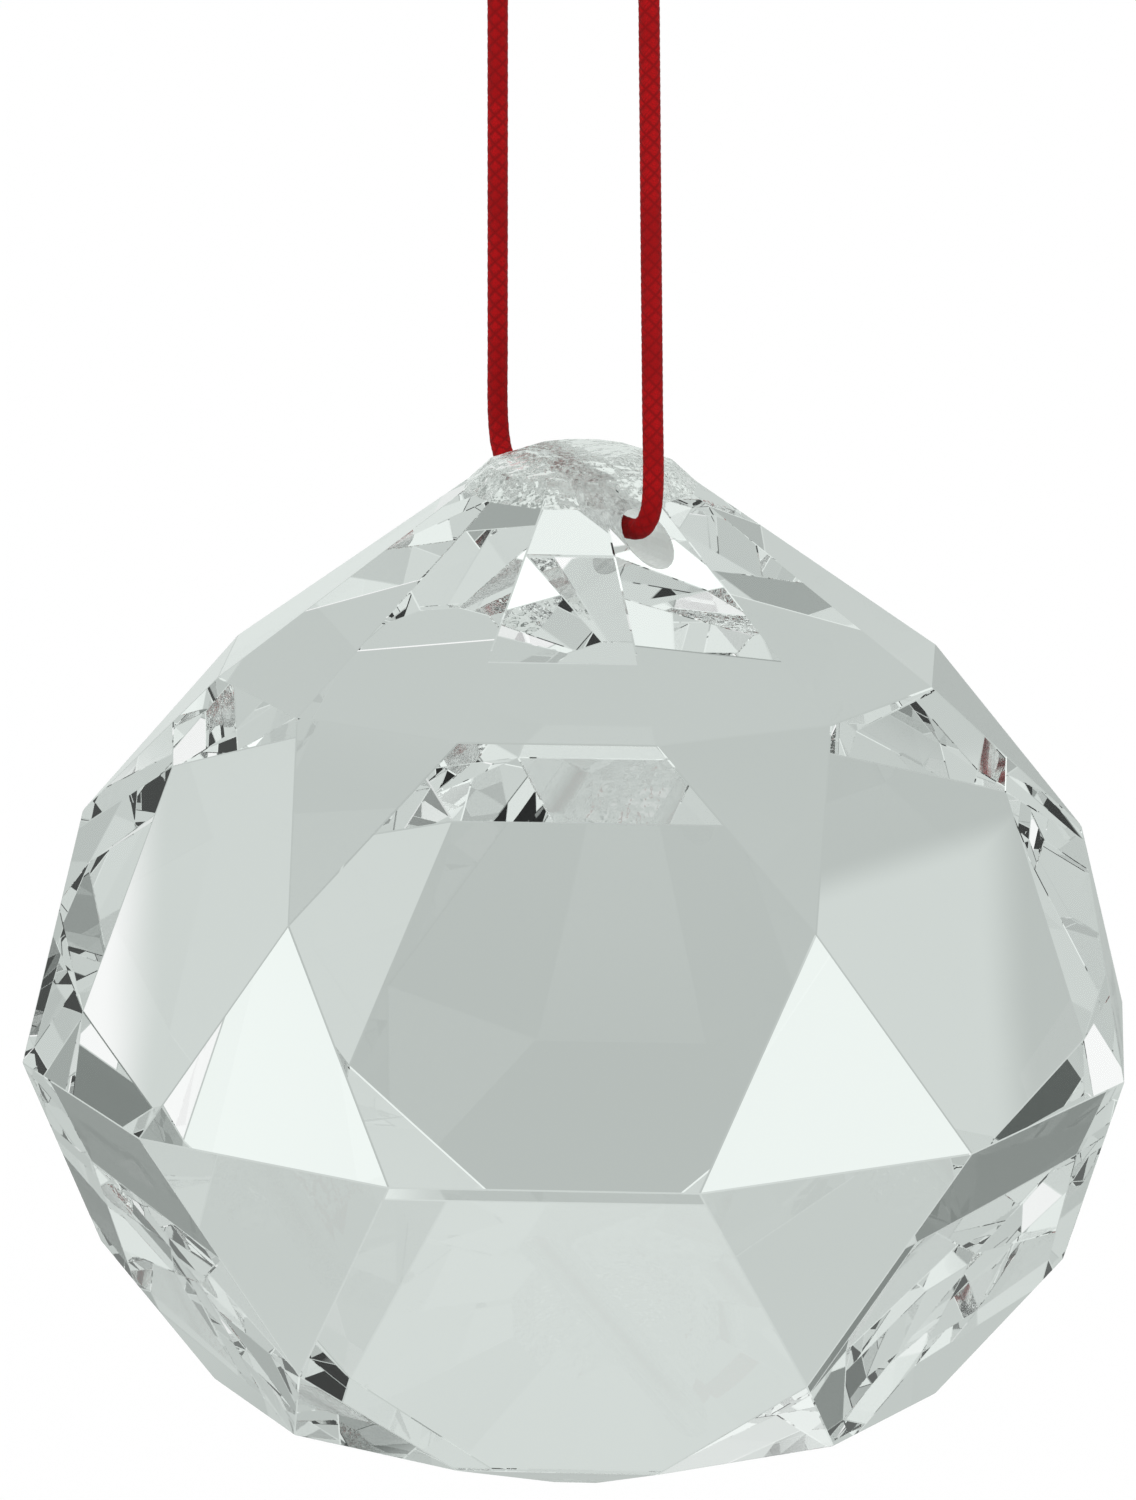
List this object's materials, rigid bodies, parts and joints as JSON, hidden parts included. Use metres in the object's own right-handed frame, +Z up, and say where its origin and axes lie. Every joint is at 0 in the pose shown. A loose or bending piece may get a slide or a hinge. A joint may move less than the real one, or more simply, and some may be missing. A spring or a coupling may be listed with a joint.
{
  "type": "hanging crystal",
  "caption": "Clear faceted glass crystal, a squat ball with conical shoulders rising to a short drilled neck, hung on a thin red cord loop tied with a small knot.",
  "frame": {"origin": "where a hook bears, under the top of the cord's loop, straight above the crystal's axis", "axes": "+Z up the crystal's axis, out of its neck; -Y through the middle of one of the big six-sided facets, the crystal's front"},
  "size_m": [0.0386, 0.0386, 0.0619],
  "materials": {
    "clear_crystal": "polished facets, clear",
    "red_cord": "matt braided thread"
  },
  "bodies": {
    "root": {"crystal": "clear_crystal", "cord": "red_cord", "knot": "red_cord"}
  },
  "joints": []
}
